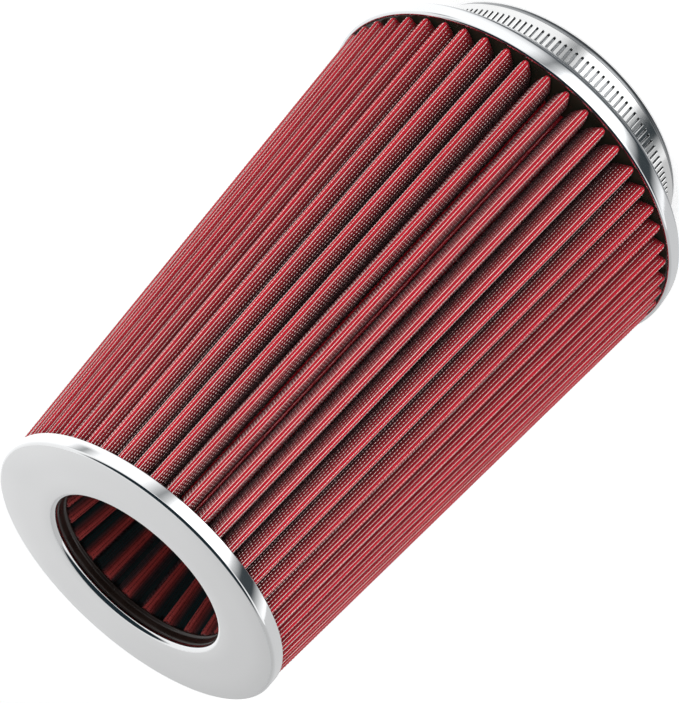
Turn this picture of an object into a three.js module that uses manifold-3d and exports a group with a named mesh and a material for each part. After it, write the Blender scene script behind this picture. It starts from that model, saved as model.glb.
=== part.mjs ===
// Clamp-on cone air filter with an inverted-cone end cap and a worm-drive hose clamp.
// Millimetres, +Z up. The origin is the centre of the neck mouth, so the filter stands on
// its neck with the narrow, open-ended cap on top.
import * as THREE from 'three';
import { mergeVertices } from 'three/addons/utils/BufferGeometryUtils.js';
import Module from 'manifold-3d';

// ---- Driving dimensions --------------------------------------------------------------
const GAP = 0.3; // clearance kept between neighbouring solids
const ROUND = 48; // facets round a large turned part

const CAP_TOP = 247.4; // height of the flat cap face
const CAP_RADIUS = 59.4; // 4.75 in nominal cap diameter
const CAP_EDGE = 242.1; // lower edge of the cap skirt
const HOLE_RADIUS = 35.2; // hole in the cap
const CAP_CORNER = 1.6; // outside radius of the cap's edge
const HOLE_CURL = 1; // radius that the hole's edge is turned in by
const LIP_RADIUS = HOLE_RADIUS - 0.3; // resin wall inside the hole
const LIP_EDGE = 240.4; // its lower edge
const LIP_TOP = CAP_TOP - 1.8; // its upper edge, just under the curl
const SHEET = 0.8; // sheet metal of the cap and base

const BASE_RADIUS = 76; // 6 in nominal base diameter
const BASE_RIM = 33.6; // height of the base shell's rim
const BASE_FLOOR = 19.3; // underside of the base shell
const BASE_SHOULDER = [ // [radius, height] of the shell's outer face, floor to rim
  [64, BASE_FLOOR], [66.6, 20], [69.4, 22.2], [71.7, 25.2], [73.7, 26.3], [75.2, 28],
  [75.8, 30.6],
];
const POTTING_SHOULDER = [ // [radius, height] of the resin that lies in the shell
  [65.2, 21.9], [68, 23.9], [70.3, 26.9], [72.6, 28.2], [74.2, 30.2],
];

const BORE_RADIUS = 51; // for a 4 in (102 mm) pipe
const LINER_RADIUS = 55.1;
const SLEEVE_RADIUS = 56.6;
const SLEEVE_WALL = 1.2;
const SLEEVE_LIP = 3; // radius that the sleeve's mouth is turned in by
const SLEEVE_FLARE = 5; // width of its flange on the base floor
const SLIT_COUNT = 8;
const SLIT_WIDTH = 2.5;
const SLIT_LENGTH = 12;
const SLIT_START = 4; // height of the slits' lower ends
const POTTING_STEP = 2.4; // how far the base resin covers the liner's end

// Pleated packs: two screens with the cotton between them, folded together.
const LAYERS = { screen: 0.3, air: 0.2, cotton: 0.5 };
const OUTER_PACK = {
  pleats: 52, tipRadius: 74.75, rootRadius: 59.75, tipHalfWidth: 1.6, rootHalfWidth: 0.6,
  shoulderRadius: 68.5, shoulderHalfWidth: 3.25, // below it the sides of a fold are parallel
  from: BASE_RIM + GAP, to: CAP_EDGE - GAP, endScale: 58.7 / 74.75,
};
const CONE_PACK = {
  pleats: 24, tipRadius: 34, rootRadius: 41, tipHalfWidth: 2, rootHalfWidth: 1,
  shoulderRadius: 37.5, shoulderHalfWidth: 2.9,
  from: LIP_EDGE - GAP, to: 141, endScale: 0.53,
};
const OUTER_TURN = 2; // degrees from +X to the outer pack's first fold
const CONE_TURN = 4.4; // and to the cone's first fold
const OUTER_SEAM_WIDTH = 9;
const CONE_SEAM_WIDTH = 7;

const TIP_CUP_RADIUS = 25.4; // pan that closes the cone's narrow end
const TIP_CUP_HEIGHT = 9;
const TIP_CUP_CORNER = 2;

// Worm-drive clamp
const CLAMP_MIDDLE = 10.65;
const BAND_WIDTH = 12.7; // half an inch
const BAND_THICKNESS = 0.7;
const BAND_INNER = SLEEVE_RADIUS + GAP;
const SADDLE_WIDTH = BAND_WIDTH - 0.4;
const TAIL_INNER = BAND_INNER + BAND_THICKNESS + GAP;
const TAIL_OUTER = TAIL_INNER + BAND_THICKNESS;
const SLOT_PITCH = 2.5; // degrees
const SLOT_LENGTH = 6.3;
const SLOT_WIDTH = 1;
const HOUSING_ANGLE = 90; // the housing sits on the +Y side
const SADDLE_HALF_ANGLE = 10; // degrees
const TAIL_START = 112; // degrees, where the tail lifts off the loop
const TAIL_END = 36; // degrees, its free end
const SCREW_RADIUS = 4.2;
const SCREW_Y = TAIL_OUTER + GAP + SCREW_RADIUS;
const HOUSING_LENGTH = 16;
const HOUSING_WALL = 0.7;
const HEX_ACROSS_FLATS = 8;
const HEAD_LENGTH = 5.5;
const FLANGE_RADIUS = 4.8;
const FLANGE_THICKNESS = 1;
const DRIVER_SLOT = 1.3;

// ---- Finishes ------------------------------------------------------------------------
const finish = (color, roughness, metalness) =>
  new THREE.MeshStandardMaterial({ color, roughness, metalness });
const chrome = finish(0xdfe2e4, 0.12, 1);
const steel = finish(0xb9bcbe, 0.28, 1);
const cotton = finish(0xa3172b, 0.9, 0);
const wire = finish(0xc98a92, 0.4, 0.6);
const resin = finish(0x1d1815, 0.35, 0);
const rubber = finish(0x17181a, 0.7, 0);
const tin = finish(0x9a9c9e, 0.35, 1);

// ---- Geometry helpers ----------------------------------------------------------------
const wasm = await Module();
wasm.setup();

const radians = THREE.MathUtils.degToRad;

/** Points on an arc round [x, y], from one angle in degrees to another, both included. */
function arc(x, y, radius, from, to, steps) {
  return Array.from({ length: steps + 1 }, (_, i) => {
    const angle = radians(from + ((to - from) * i) / steps);
    return [x + radius * Math.cos(angle), y + radius * Math.sin(angle)];
  });
}

/** A closed [radius, height] outline, listed anticlockwise, turned round the Z axis. */
function revolve(outline, segments = ROUND) {
  const points = [...outline, outline[0]].map(([r, z]) => new THREE.Vector2(r, z));
  return new THREE.LatheGeometry(points, segments).rotateX(Math.PI / 2);
}

/** The outline of a sheet of even thickness whose right-hand face follows a path. */
function sheetOutline(path, thickness) {
  const left = path.map((point, i) => {
    const before = path[Math.max(i - 1, 0)];
    const after = path[Math.min(i + 1, path.length - 1)];
    const into = new THREE.Vector2(point[0] - before[0], point[1] - before[1]).normalize();
    const out = new THREE.Vector2(after[0] - point[0], after[1] - point[1]).normalize();
    const along = into.clone().add(out).normalize();
    const mitre = thickness / Math.max(along.dot(i === 0 ? out : into), 0.5);
    return [point[0] - along.y * mitre, point[1] + along.x * mitre];
  });
  return [...path, ...left.reverse()];
}

/** A flat outline of [x, y] points extruded along +Z, with optional holes. */
function extrude(outline, depth, holes = []) {
  const toVector = ([x, y]) => new THREE.Vector2(x, y);
  const shape = new THREE.Shape(outline.map(toVector));
  shape.holes = holes.map((hole) => new THREE.Path(hole.map(toVector)));
  return new THREE.ExtrudeGeometry(shape, { depth, bevelEnabled: false });
}

function toManifold(geometry) {
  const bare = geometry.clone();
  bare.deleteAttribute('normal');
  bare.deleteAttribute('uv');
  const merged = mergeVertices(bare, 1e-4);
  return new wasm.Manifold(new wasm.Mesh({
    numProp: 3,
    vertProperties: Float32Array.from(merged.attributes.position.array),
    triVerts: Uint32Array.from(merged.index.array),
  }));
}

function toGeometry(solid) {
  const { vertProperties, triVerts } = solid.getMesh();
  const geometry = new THREE.BufferGeometry();
  geometry.setAttribute('position', new THREE.BufferAttribute(vertProperties, 3));
  geometry.setIndex(new THREE.BufferAttribute(triVerts, 1));
  geometry.computeVertexNormals();
  return geometry;
}

function subtract(geometry, cutters) {
  return toGeometry(cutters.reduce((solid, cutter) => solid.subtract(toManifold(cutter)),
    toManifold(geometry)));
}

// ---- Pleated packs -------------------------------------------------------------------
/** One face of a folded pack. Depth is how far it lies behind the side the dust lands on. */
function pleatOutline(pack, depth) {
  const { pleats, tipRadius, rootRadius, tipHalfWidth, rootHalfWidth } = pack;
  const shoulder = pack.shoulderRadius;
  const inward = Math.sign(rootRadius - tipRadius);
  const tip = tipRadius + inward * depth;
  const root = rootRadius + inward * depth;
  const tipHalf = (tipHalfWidth - depth) / tip;
  const shoulderHalf = (pack.shoulderHalfWidth - depth) / shoulder;
  const rootHalf = (rootHalfWidth + depth) / root;
  const points = [];
  for (let i = 0; i < pleats; i += 1) {
    const fold = (2 * Math.PI * i) / pleats;
    const valley = (2 * Math.PI * (i + 0.5)) / pleats;
    for (const [angle, radius] of [
      [fold - shoulderHalf, shoulder], [fold - tipHalf, tip],
      [fold + tipHalf, tip], [fold + shoulderHalf, shoulder],
      [valley - rootHalf, root], [valley + rootHalf, root],
    ]) {
      points.push([radius * Math.cos(angle), radius * Math.sin(angle)]);
    }
  }
  return points;
}

const scaleAt = (pack, z) =>
  1 + ((pack.endScale - 1) * (z - pack.from)) / (pack.to - pack.from);

/** A layer of a pack between two depths, tapering evenly from one end to the other. */
function pleatLayer(pack, front, back) {
  const faces = [pleatOutline(pack, front), pleatOutline(pack, back)];
  if (pack.rootRadius > pack.tipRadius) faces.reverse();
  const height = Math.abs(pack.to - pack.from);
  const geometry = extrude(faces[0], height, [faces[1]]);
  const position = geometry.attributes.position;
  const low = Math.min(pack.from, pack.to);
  for (let i = 0; i < position.count; i += 1) {
    const z = low + position.getZ(i);
    const scale = scaleAt(pack, z);
    position.setXYZ(i, position.getX(i) * scale, position.getY(i) * scale, z);
  }
  return geometry;
}

const COTTON_FRONT = LAYERS.screen + LAYERS.air;
const COTTON_BACK = COTTON_FRONT + LAYERS.cotton;
const PACK_DEPTH = COTTON_BACK + LAYERS.air + LAYERS.screen;
const frontScreen = (pack) => pleatLayer(pack, 0, LAYERS.screen);
const cottonLayer = (pack) => pleatLayer(pack, COTTON_FRONT, COTTON_BACK);
const backScreen = (pack) => pleatLayer(pack, PACK_DEPTH - LAYERS.screen, PACK_DEPTH);

/** A flat strip glued along one root fold, on the clean side, where the pack is joined. */
function seamStrip(pack, width) {
  const outward = Math.sign(pack.rootRadius - pack.tipRadius);
  const along = Math.sign(pack.to - pack.from);
  const endMargin = 4;
  const thickness = 0.6;
  const face = pack.rootRadius + outward * (PACK_DEPTH + 2 * GAP);
  const ends = [pack.from + along * endMargin, pack.to - along * endMargin];
  const outline = sheetOutline(ends.map((z) => [face * scaleAt(pack, z), z]), thickness);
  return extrude(outline, width).translate(0, 0, -width / 2)
    .applyMatrix4(new THREE.Matrix4().makeBasis(
      new THREE.Vector3(0, 1, 0), new THREE.Vector3(0, 0, 1), new THREE.Vector3(1, 0, 0)));
}

// ---- Cap, base and neck --------------------------------------------------------------
function topCap() {
  return revolve(sheetOutline([
    [CAP_RADIUS, CAP_EDGE],
    ...arc(CAP_RADIUS - CAP_CORNER, CAP_TOP - CAP_CORNER, CAP_CORNER, 0, 90, 4),
    ...arc(HOLE_RADIUS + HOLE_CURL, CAP_TOP - HOLE_CURL, HOLE_CURL, 90, 180, 3),
  ], SHEET));
}

/** Resin that holds both packs in the cap; its inner wall lines the hole. */
function topPotting() {
  const outer = CAP_RADIUS - SHEET - GAP;
  const top = CAP_TOP - SHEET - GAP;
  const step = (OUTER_PACK.rootRadius - PACK_DEPTH) * OUTER_PACK.endScale - 1;
  const behindCurl = HOLE_RADIUS + SHEET + GAP;
  return revolve([
    [LIP_RADIUS, LIP_EDGE], [step, LIP_EDGE], [step, CAP_EDGE], [outer, CAP_EDGE],
    [outer, top], [behindCurl, top], [behindCurl, LIP_TOP + 0.2], [LIP_RADIUS, LIP_TOP],
  ]);
}

const baseShell = () => revolve(sheetOutline(
  [[SLEEVE_RADIUS + GAP, BASE_FLOOR], ...BASE_SHOULDER, [BASE_RADIUS, BASE_RIM]], SHEET));

function basePotting() {
  const inner = LINER_RADIUS - POTTING_STEP;
  const [[, seat]] = POTTING_SHOULDER;
  return revolve([
    [inner, seat], ...POTTING_SHOULDER, [BASE_RADIUS - SHEET - 2 * GAP, BASE_RIM],
    [inner, BASE_RIM],
  ]);
}

/** Steel tube that the clamp squeezes: turned in at its mouth, flared over the base floor. */
function neckSleeve() {
  const flareHeight = BASE_FLOOR + SHEET + GAP;
  const tube = revolve(sheetOutline([
    ...arc(SLEEVE_RADIUS - SLEEVE_LIP, SLEEVE_LIP + GAP, SLEEVE_LIP, -60, 0, 4),
    [SLEEVE_RADIUS, flareHeight], [SLEEVE_RADIUS + SLEEVE_FLARE, flareHeight],
  ], SLEEVE_WALL));
  const slits = Array.from({ length: SLIT_COUNT }, (_, i) =>
    new THREE.BoxGeometry(6 * SLEEVE_WALL, SLIT_WIDTH, SLIT_LENGTH)
      .translate(SLEEVE_RADIUS, 0, SLIT_LENGTH / 2 + SLIT_START)
      .rotateZ((2 * Math.PI * (i + 0.5)) / SLIT_COUNT));
  return subtract(tube, slits);
}

/** Rubber bush that seals on the pipe, with a chamfered mouth inside the sleeve's lip. */
function neckLiner() {
  const top = BASE_FLOOR + SHEET + SLEEVE_WALL;
  const underLip = SLEEVE_LIP - SLEEVE_WALL - GAP;
  return revolve([
    [BORE_RADIUS + 1, 0], [LINER_RADIUS - 1.4, 0], [LINER_RADIUS - 1, 1.5],
    ...arc(LINER_RADIUS - underLip, SLEEVE_LIP + GAP, underLip, -50, 0, 2),
    [LINER_RADIUS, top], [BORE_RADIUS, top], [BORE_RADIUS, 1],
  ]);
}

// ---- Inverted cone's tip -------------------------------------------------------------
function tipPotting() {
  const top = CONE_PACK.to - GAP;
  const radius = TIP_CUP_RADIUS - SHEET - GAP;
  const bottom = top - TIP_CUP_HEIGHT + TIP_CUP_CORNER + SHEET + GAP;
  const corner = TIP_CUP_CORNER - SHEET / 2;
  return revolve([
    [0, bottom], [radius - corner, bottom], [radius, bottom + corner], [radius, top], [0, top],
  ]);
}

function tipCup() {
  const top = CONE_PACK.to + TIP_CUP_CORNER - GAP;
  const bottom = top - TIP_CUP_HEIGHT;
  const corner = TIP_CUP_CORNER;
  return revolve(sheetOutline([
    [0, bottom], ...arc(TIP_CUP_RADIUS - corner, bottom + corner, corner, -90, 0, 2),
    [TIP_CUP_RADIUS, top],
  ], SHEET));
}

// ---- Clamp ---------------------------------------------------------------------------
/** A strip bent round Z between two angles in degrees, its width along Z. */
function bentStrip(inner, outer, from, to, width, steps) {
  const outline = [...arc(0, 0, outer, from, to, steps), ...arc(0, 0, inner, to, from, steps)];
  return extrude(outline, width).translate(0, 0, CLAMP_MIDDLE - width / 2);
}

/** Cuts a row of slots through a bent strip, from one angle in degrees up to another. */
function cutSlots(strip, radius, first, last) {
  const count = Math.floor((last - first) / SLOT_PITCH + 1e-6) + 1;
  return subtract(strip, Array.from({ length: count }, (_, i) =>
    new THREE.BoxGeometry(6 * BAND_THICKNESS, SLOT_WIDTH, SLOT_LENGTH)
      .translate(radius, 0, CLAMP_MIDDLE).rotateZ(radians(first + SLOT_PITCH * i))));
}

/** The loop, slotted all the way round, with plain ends under the housing. */
function clampBand() {
  const from = HOUSING_ANGLE + SADDLE_HALF_ANGLE;
  const to = HOUSING_ANGLE + 360 - SADDLE_HALF_ANGLE;
  const plain = 1.5 * SLOT_PITCH;
  const strip = bentStrip(BAND_INNER, BAND_INNER + BAND_THICKNESS, from, to, BAND_WIDTH, 68);
  return cutSlots(strip, BAND_INNER + BAND_THICKNESS / 2, from + plain, to - plain);
}

const clampSaddle = () => bentStrip(BAND_INNER, BAND_INNER + BAND_THICKNESS,
  HOUSING_ANGLE - SADDLE_HALF_ANGLE + GAP, HOUSING_ANGLE + SADDLE_HALF_ANGLE - GAP,
  SADDLE_WIDTH, 8);

/** The end of the band that the worm pulls through the housing, with its row of slots. */
function clampTail() {
  const strip = bentStrip(TAIL_INNER, TAIL_OUTER, TAIL_END, TAIL_START, BAND_WIDTH, 24);
  return cutSlots(strip, TAIL_INNER + BAND_THICKNESS / 2,
    TAIL_END + 2 * SLOT_PITCH, TAIL_START - 1.5 * SLOT_PITCH);
}

/** Maps [across, out] outlines extruded along X onto the clamp at +Y. */
function alongScrew(outline, length) {
  return extrude(outline, length).translate(0, 0, -length / 2)
    .applyMatrix4(new THREE.Matrix4().makeBasis(
      new THREE.Vector3(0, 0, 1), new THREE.Vector3(0, 1, 0), new THREE.Vector3(-1, 0, 0)))
    .translate(0, 0, CLAMP_MIDDLE);
}

/** Stamped cover: feet past the band's edges, shoulders over it, a tunnel for the screw. */
function clampHousing() {
  const tunnel = SCREW_RADIUS + 0.4;
  const foot = BAND_WIDTH / 2 + GAP;
  const roof = TAIL_OUTER + 0.5;
  const floor = BAND_INNER + 0.1;
  const profile = (offset, reverse) => {
    const points = [
      [foot + offset, floor], [foot + offset, roof + offset], [tunnel + offset, roof + offset],
      ...arc(0, SCREW_Y, tunnel + offset, 0, 180, 12),
      [-tunnel - offset, roof + offset], [-foot - offset, roof + offset], [-foot - offset, floor],
    ];
    return reverse ? points.reverse() : points;
  };
  return alongScrew([...profile(HOUSING_WALL, false), ...profile(0, true)], HOUSING_LENGTH);
}

/** Worm screw along X with a slotted hexagon head on the +X end. */
function clampScrew() {
  const wormEnd = (HOUSING_LENGTH - 1) / 2;
  const nose = { radius: 2.6, length: 1.5 };
  const shank = 3;
  const flangeStart = HOUSING_LENGTH / 2 + GAP;
  const headStart = flangeStart + FLANGE_THICKNESS;
  const hexRadius = HEX_ACROSS_FLATS / Math.sqrt(3);
  const overlap = 0.5; // how far the head's solid runs into the flange
  const slotDepth = 2;
  const body = revolve([
    [0, -wormEnd - nose.length], [nose.radius, -wormEnd - nose.length],
    [SCREW_RADIUS, -wormEnd], [SCREW_RADIUS, wormEnd], [shank, wormEnd], [shank, flangeStart],
    [FLANGE_RADIUS, flangeStart], [FLANGE_RADIUS, headStart], [0, headStart],
  ], 24).rotateY(Math.PI / 2);
  const head = extrude(arc(0, 0, hexRadius, 0, 300, 5), HEAD_LENGTH + overlap)
    .translate(0, 0, headStart - overlap).rotateY(Math.PI / 2);
  const slot = new THREE.BoxGeometry(2 * slotDepth, DRIVER_SLOT, 3 * HEX_ACROSS_FLATS / 2)
    .translate(headStart + HEAD_LENGTH, 0, 0);
  const solid = toManifold(body).add(toManifold(head)).subtract(toManifold(slot));
  return toGeometry(solid);
}

// ---- Assembly ------------------------------------------------------------------------
function piece(name, geometry, material) {
  const mesh = new THREE.Mesh(geometry, material);
  mesh.name = name;
  return mesh;
}

const filter = new THREE.Group();
filter.add(
  piece('base_shell', baseShell(), chrome),
  piece('neck_sleeve', neckSleeve(), steel),
  piece('neck_liner', neckLiner(), rubber),
  piece('base_potting', basePotting(), resin),
  piece('top_potting', topPotting(), resin),
  piece('top_cap', topCap(), chrome),
);

const wall = new THREE.Group();
wall.rotation.z = radians(OUTER_TURN);
wall.add(
  piece('outer_screen', frontScreen(OUTER_PACK), wire),
  piece('outer_media', cottonLayer(OUTER_PACK), cotton),
  piece('inner_screen', backScreen(OUTER_PACK), wire),
  piece('outer_seam_strip', seamStrip(OUTER_PACK, OUTER_SEAM_WIDTH), tin),
);

const cone = new THREE.Group();
cone.rotation.z = radians(CONE_TURN);
const coneSeam = piece('cone_seam_strip', seamStrip(CONE_PACK, CONE_SEAM_WIDTH), tin);
coneSeam.rotation.z = Math.PI * (1 + 1 / CONE_PACK.pleats); // a root fold opposite the outer seam
cone.add(
  coneSeam,
  piece('cone_front_screen', frontScreen(CONE_PACK), wire),
  piece('cone_media', cottonLayer(CONE_PACK), cotton),
  piece('cone_back_screen', backScreen(CONE_PACK), wire),
  piece('cone_tip_potting', tipPotting(), resin),
  piece('cone_tip_cup', tipCup(), tin),
);

const clamp = new THREE.Group();
const screw = piece('clamp_screw', clampScrew(), steel);
screw.position.set(0, SCREW_Y, CLAMP_MIDDLE);
clamp.add(
  piece('clamp_band', clampBand(), steel),
  piece('clamp_tail', clampTail(), steel),
  piece('clamp_saddle', clampSaddle(), steel),
  piece('clamp_housing', clampHousing(), steel),
  screw,
);

filter.add(wall, cone, clamp);
export default filter;
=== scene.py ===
"""Looks of the clamp-on cone air filter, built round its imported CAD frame.

Lengths are in millimetres until a mesh is made, and then in metres, in the CAD's own frame:
+Z up, with the filter standing on its neck.
"""

import math

import bmesh
import bpy
import numpy as np
from mathutils import Matrix, Vector


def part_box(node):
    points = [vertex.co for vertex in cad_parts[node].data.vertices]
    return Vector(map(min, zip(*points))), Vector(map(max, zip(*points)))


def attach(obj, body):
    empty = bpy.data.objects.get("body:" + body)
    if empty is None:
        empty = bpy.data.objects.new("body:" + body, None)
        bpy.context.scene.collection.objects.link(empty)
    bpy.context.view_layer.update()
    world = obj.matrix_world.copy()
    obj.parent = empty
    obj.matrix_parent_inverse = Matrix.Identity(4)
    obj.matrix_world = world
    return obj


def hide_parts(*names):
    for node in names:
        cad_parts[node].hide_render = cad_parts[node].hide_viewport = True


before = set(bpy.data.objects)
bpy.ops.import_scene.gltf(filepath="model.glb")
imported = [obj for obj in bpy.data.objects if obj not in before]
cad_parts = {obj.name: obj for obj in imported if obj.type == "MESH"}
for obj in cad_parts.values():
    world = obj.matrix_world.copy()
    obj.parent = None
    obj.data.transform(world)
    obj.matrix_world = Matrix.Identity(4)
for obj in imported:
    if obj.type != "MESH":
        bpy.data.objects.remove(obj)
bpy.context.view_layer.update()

MM = 0.001


def top_of(node):
    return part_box(node)[1].z / MM


def foot_of(node):
    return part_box(node)[0].z / MM


def radius_of(node):
    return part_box(node)[1].x / MM


# ---- Places taken from the frame -------------------------------------------------------
CAP_TOP, CAP_EDGE, CAP_RADIUS = top_of("top_cap"), foot_of("top_cap"), radius_of("top_cap")
LIP_EDGE = foot_of("top_potting")
BASE_RIM, BASE_FLOOR = top_of("base_shell"), foot_of("base_shell")
BASE_RADIUS = radius_of("base_shell")
PACK_FOOT, PACK_TOP = foot_of("outer_screen"), top_of("outer_screen")
CONE_TOP, CONE_FOOT = top_of("cone_front_screen"), foot_of("cone_front_screen")
TIP_CUP_TOP, TIP_CUP_FOOT = top_of("cone_tip_cup"), foot_of("cone_tip_cup")
TIP_CUP_RADIUS = radius_of("cone_tip_cup")
BAND_TOP, BAND_FOOT = top_of("clamp_band"), foot_of("clamp_band")
BAND_MIDDLE = (BAND_TOP + BAND_FOOT) / 2
LINER_TOP, LINER_RADIUS = top_of("neck_liner"), radius_of("neck_liner")
POTTING_FOOT = foot_of("base_potting")
SCREW_LOW, SCREW_HIGH = (Vector(corner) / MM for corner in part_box("clamp_screw"))
HOUSING_LOW, HOUSING_HIGH = (Vector(corner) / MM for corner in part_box("clamp_housing"))

# ---- Sizes that the looks share with the CAD -------------------------------------------
SHEET = 0.8  # sheet metal of the cap and base
HOLE_RADIUS = 35.2  # hole in the cap
BORE_RADIUS = 51.0
SLEEVE_RADIUS = 56.6
SLEEVE_WALL = 1.2
GAP = 0.3
BAND_INNER = SLEEVE_RADIUS + GAP
BAND_THICKNESS = 0.7
SLOT_PITCH = 2.5  # degrees
ROUND = 256  # facets round a large turned part

# Of each pack: the radii of a fold's tip, root and shoulder and half its width there, the
# heights it runs between and its scale at the far one, angles in degrees (turn, unevenness
# and twist), and the wires of its screen: columns for each pleat, and rows.
OUTER_PACK = {
    "pleats": 52, "tip": 74.75, "root": 59.75, "tip_half": 1.6, "root_half": 0.6,
    "shoulder": 68.5, "shoulder_half": 3.25,  # below it the sides of a fold are parallel
    "from": PACK_FOOT, "to": PACK_TOP, "end_scale": 58.7 / 74.75, "turn": 2.0,
    "columns": 22, "rows": 287, "unevenness": 0.35, "twist": 1.2,
}
CONE_PACK = {
    "pleats": 24, "tip": 34.0, "root": 41.0, "tip_half": 2.0, "root_half": 1.0,
    "shoulder": 37.5, "shoulder_half": 2.9,
    "from": CONE_TOP, "to": CONE_FOOT, "end_scale": 0.53, "turn": 4.4,
    "columns": 12, "rows": 139, "unevenness": 0.4, "twist": 0.0,
}


# ---- Mesh helpers ----------------------------------------------------------------------
def add_piece(mesh, name, body, material, replaces=()):
    piece = bpy.data.objects.new(name, mesh)
    bpy.context.scene.collection.objects.link(piece)
    mesh.materials.append(material)
    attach(piece, body)
    if replaces:
        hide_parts(*replaces)
    return piece


def mesh_from_arrays(name, points, quads, uv=None):
    """A smooth mesh from an (n, 3) array in mm and an (m, 4) array of indices."""
    mesh = bpy.data.meshes.new(name)
    mesh.vertices.add(len(points))
    mesh.vertices.foreach_set("co", (points * MM).astype(np.float32).ravel())
    mesh.loops.add(quads.size)
    mesh.loops.foreach_set("vertex_index", quads.astype(np.int32).ravel())
    mesh.polygons.add(len(quads))
    mesh.polygons.foreach_set("loop_start", np.arange(0, quads.size, 4, dtype=np.int32))
    mesh.polygons.foreach_set("use_smooth", np.ones(len(quads), bool))
    mesh.update(calc_edges=True)
    if uv is not None:
        mesh.uv_layers.new(name="weave").uv.foreach_set("vector", uv.astype(np.float32).ravel())
    return mesh


def ring_grid(points, uv=None):
    """Quads over a (rows, columns, 3) array that closes on itself both ways."""
    rows, columns = points.shape[:2]
    r, c = np.meshgrid(np.arange(rows), np.arange(columns), indexing="ij")
    r2, c2 = (r + 1) % rows, (c + 1) % columns
    quads = np.stack([r * columns + c, r * columns + c2, r2 * columns + c2, r2 * columns + c], -1)
    corners = None
    if uv is not None:
        corners = np.stack([uv[r, c], uv[r, c + 1], uv[r + 1, c + 1], uv[r + 1, c]], 2)
    return points.reshape(-1, 3), quads.reshape(-1, 4), corners


def arc(x, y, radius, start, end, steps):
    angles = np.radians(np.linspace(start, end, steps + 1))
    return [(x + radius * math.cos(a), y + radius * math.sin(a)) for a in angles]


def sheet_outline(path, thickness):
    """Outline of a sheet whose right-hand face follows a path, with rounded edges."""
    points = [np.array(p, float) for p in path]
    left = []
    for i, point in enumerate(points):
        before = points[max(i - 1, 0)]
        after = points[min(i + 1, len(points) - 1)]
        into = (point - before) / (np.linalg.norm(point - before) or 1)
        out = (after - point) / (np.linalg.norm(after - point) or 1)
        along = into + out
        along /= np.linalg.norm(along)
        mitre = thickness / max(float(along @ (out if i == 0 else into)), 0.5)
        left.append(point + mitre * np.array([-along[1], along[0]]))
    start, end = points[0] - points[1], points[-1] - points[-2]
    edges = []
    for here, there, way in ((points[-1], left[-1], end), (left[0], points[0], start)):
        way = way / np.linalg.norm(way) * thickness * 0.45
        middle, half = (here + there) / 2, (here - there) / 2
        edges.append([middle + half * math.cos(a) + way * math.sin(a)
                      for a in np.linspace(0, math.pi, 7)[1:-1]])
    return [*points, *edges[0], *left[::-1], *edges[1]]


def turned(name, outline, body, material, replaces=(), segments=ROUND):
    """A closed [radius, height] outline turned round Z."""
    outline = np.array([tuple(p) for p in outline], float)
    angles = np.linspace(0, 2 * math.pi, segments, endpoint=False)
    points = np.stack([
        outline[:, None, 0] * np.cos(angles),
        outline[:, None, 0] * np.sin(angles),
        np.broadcast_to(outline[:, None, 1], (len(outline), segments)),
    ], -1)
    grid, quads, _ = ring_grid(points)
    mesh = mesh_from_arrays(name, grid, quads[:, ::-1])
    return add_piece(mesh, name, body, material, replaces)


# ---- Material helpers ------------------------------------------------------------------
class Nodes:
    """Short names for building one material's node tree."""

    def __init__(self, name, **values):
        self.material = bpy.data.materials.new(name)
        self.material.use_nodes = True
        self.tree = self.material.node_tree
        self.shader = self.tree.nodes["Principled BSDF"]
        for socket, value in values.items():
            self.shader.inputs[socket.replace("_", " ")].default_value = value

    def add(self, kind, inputs=None, **settings):
        node = self.tree.nodes.new(kind)
        for key, value in settings.items():
            setattr(node, key, value)
        for key, value in (inputs or {}).items():
            socket = node.inputs[key]
            if isinstance(value, bpy.types.NodeSocket):
                self.tree.links.new(value, socket)
            else:
                socket.default_value = value
        return node

    def link(self, socket, name):
        self.tree.links.new(socket, self.shader.inputs[name])

    def place(self):
        return self.add("ShaderNodeTexCoord").outputs["Object"]

    def noise(self, scale, detail, vector=None):
        return self.add("ShaderNodeTexNoise", {
            "Vector": vector or self.place(), "Scale": scale, "Detail": detail,
        }).outputs["Fac"]

    def remap(self, value, low, high, source=(0.3, 0.7)):
        return self.add("ShaderNodeMapRange", {
            "Value": value, "From Min": source[0], "From Max": source[1],
            "To Min": low, "To Max": high,
        }).outputs["Result"]

    def math(self, operation, a, b=0.0):
        return self.add("ShaderNodeMath", {0: a, 1: b}, operation=operation).outputs[0]

    def mix(self, factor, a, b):
        node = self.add("ShaderNodeMix", data_type="RGBA")
        for index, value in ((0, factor), (6, a), (7, b)):
            if isinstance(value, bpy.types.NodeSocket):
                self.tree.links.new(value, node.inputs[index])
            else:
                node.inputs[index].default_value = value
        return node.outputs[2]

    def bump(self, height, strength, distance_mm):
        return self.add("ShaderNodeBump", {
            "Height": height, "Strength": strength, "Distance": distance_mm * MM,
        }).outputs["Normal"]


def rgb(red, green, blue):
    return (red, green, blue, 1.0)


# ---- Materials -------------------------------------------------------------------------
def polished_chrome():
    """Plated sheet: mirror-like, with faint polishing haze and fine wipe marks."""
    n = Nodes("polished_chrome", Metallic=1.0, Roughness=0.08)
    haze = n.noise(60, 4)
    stretched = n.add("ShaderNodeMapping", {"Vector": n.place(), "Scale": (1, 1, 14)})
    wipes = n.noise(180, 2, stretched.outputs[0])
    n.link(n.mix(haze, rgb(0.90, 0.91, 0.92), rgb(0.82, 0.84, 0.86)), "Base Color")
    n.link(n.remap(haze, 0.05, 0.13), "Roughness")
    n.link(n.bump(wipes, 0.04, 0.05), "Normal")
    return n.material


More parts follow.
